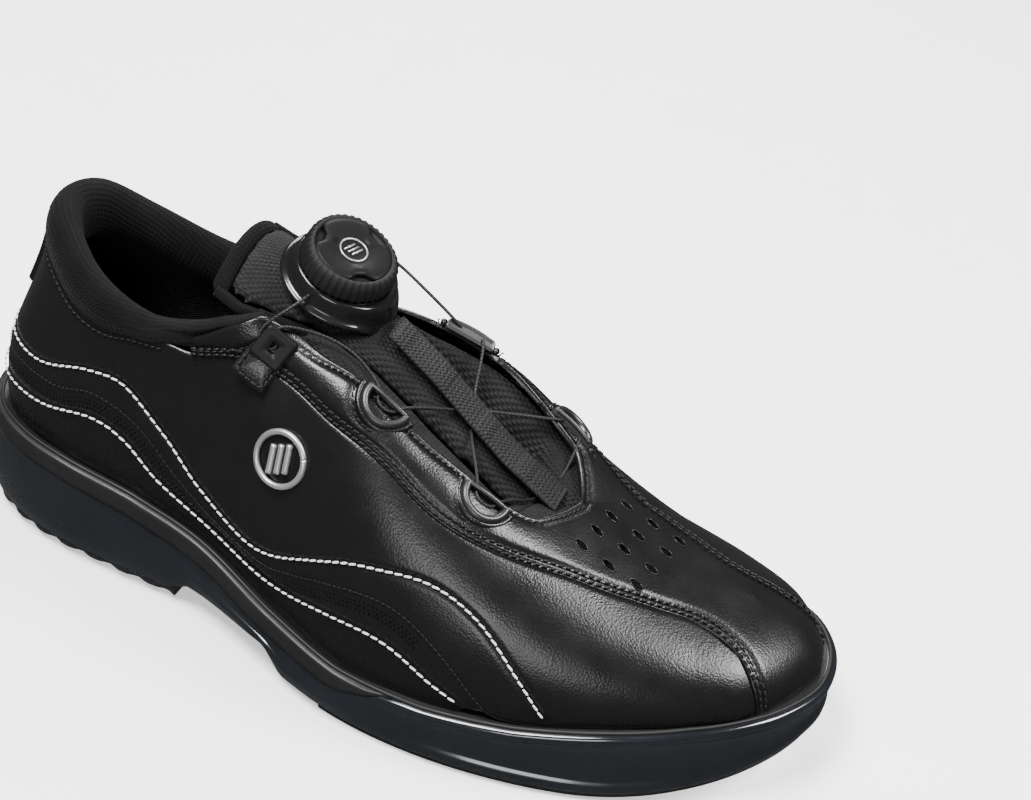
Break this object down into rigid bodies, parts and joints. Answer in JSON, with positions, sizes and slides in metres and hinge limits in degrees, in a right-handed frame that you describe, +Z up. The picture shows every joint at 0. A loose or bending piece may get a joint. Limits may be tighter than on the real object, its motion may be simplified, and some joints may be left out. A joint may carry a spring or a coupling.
{
  "type": "bowling shoe",
  "caption": "Right-foot low-cut bowling shoe with a reel-and-lace closure, removable slide pad and heel, and a moulded shell sole.",
  "frame": {"origin": "centre of the bounding box, on the floor under the sole", "axes": "+X towards the toe, +Y towards the medial (big-toe) side, +Z up"},
  "size_m": [0.305, 0.1126, 0.1377],
  "materials": {
    "shell_tpu": "glossy, slightly translucent navy",
    "window_tpu": "glossy translucent blue",
    "band_foam": "matte fine-grained charcoal foam",
    "core_foam": "matte foam",
    "nylon": "matte moulded nylon",
    "fibre_board": "matte fibre board",
    "footbed_foam": "brushed fabric over foam",
    "pad_rubber": "matte rubber rim",
    "slide_microfibre": "napped microfibre",
    "loop_fabric": "looped pile",
    "hook_plastic": "moulded hooks",
    "tread_rubber": "satin rubber",
    "black_leather": "satin full-grain leather",
    "collar_knit": "matte knit",
    "collar_foam": "knit-covered foam",
    "stiff_board": "moulded thermoplastic sheet",
    "lining_fabric": "brushed lining",
    "tongue_mesh": "spacer mesh",
    "webbing": "woven tape",
    "gloss_black": "glossy moulded black",
    "axle_steel": "turned steel",
    "grip_rubber": "matte rubber grip",
    "cap_plastic": "satin moulded black",
    "badge_metal": "satin silver paint",
    "lace_cord": "coated steel cable"
  },
  "bodies": {
    "shoe": {"outsole_shell": "shell_tpu", "arch_window": "window_tpu", "midsole_band": "band_foam", "midsole_core": "core_foam", "shank": "nylon", "insole_board": "fibre_board", "footbed": "footbed_foam", "forefoot_hook_panel": "hook_plastic", "heel_hook_panel": "hook_plastic", "foxing_lateral": "black_leather", "foxing_medial": "black_leather", "side_band_lateral": "black_leather", "side_band_medial": "black_leather", "quarter_lateral": "black_leather", "quarter_medial": "black_leather", "vamp": "black_leather", "heel_collar": "collar_knit", "collar_pad": "collar_foam", "heel_tab": "collar_knit", "heel_counter": "stiff_board", "toe_puff": "stiff_board", "quarter_lining": "lining_fabric", "vamp_lining": "lining_fabric", "lace_guide_lateral_upper": "gloss_black", "lace_guide_lateral_lower": "gloss_black", "lace_guide_medial_upper": "gloss_black", "lace_guide_medial_lower": "gloss_black", "top_clip": "cap_plastic", "side_emblem": "badge_metal", "lace": "lace_cord"},
    "tongue": {"tongue_pad": "tongue_mesh", "tongue_binding": "collar_knit", "tongue_webbing": "webbing", "reel_plate": "gloss_black", "reel_housing": "gloss_black", "reel_axle": "axle_steel"},
    "spool": {"spool": "nylon", "lace_winding": "lace_cord", "spool_flange_low": "nylon", "spool_flange_high": "nylon"},
    "knob": {"release_bush": "nylon", "knob_core": "gloss_black", "knob_grip": "grip_rubber", "knob_cap": "cap_plastic", "knob_badge": "badge_metal"},
    "forefoot_pad": {"slide_pad_carrier": "pad_rubber", "slide_face": "slide_microfibre", "slide_pad_loop": "loop_fabric"},
    "heel_pad": {"heel_tread": "tread_rubber", "heel_loop": "loop_fabric"}
  },
  "joints": [
    {"name": "tongue_open", "type": "hinge", "parent": "shoe", "child": "tongue", "pos_m": [0.056, 0.00818, 0.064], "axis": [0, 1, 0], "range_deg": [0, 14], "deforming": ["lace"]},
    {"name": "dial_turn", "type": "hinge", "parent": "tongue", "child": "spool", "pos_m": [-0.033, 0.01168, 0.119], "axis": [0.3395, -0.1219, 0.9327], "continuous": true},
    {"name": "dial_lift", "type": "slide", "parent": "spool", "child": "knob", "axis": [0.3395, -0.1219, 0.9327], "range_m": [0, 0.002]},
    {"name": "forefoot_pad_off", "type": "slide", "parent": "shoe", "child": "forefoot_pad", "axis": [0, 0, -1], "range_m": [0, 0.03]},
    {"name": "heel_pad_off", "type": "slide", "parent": "shoe", "child": "heel_pad", "axis": [0, 0, -1], "range_m": [0, 0.03]}
  ]
}
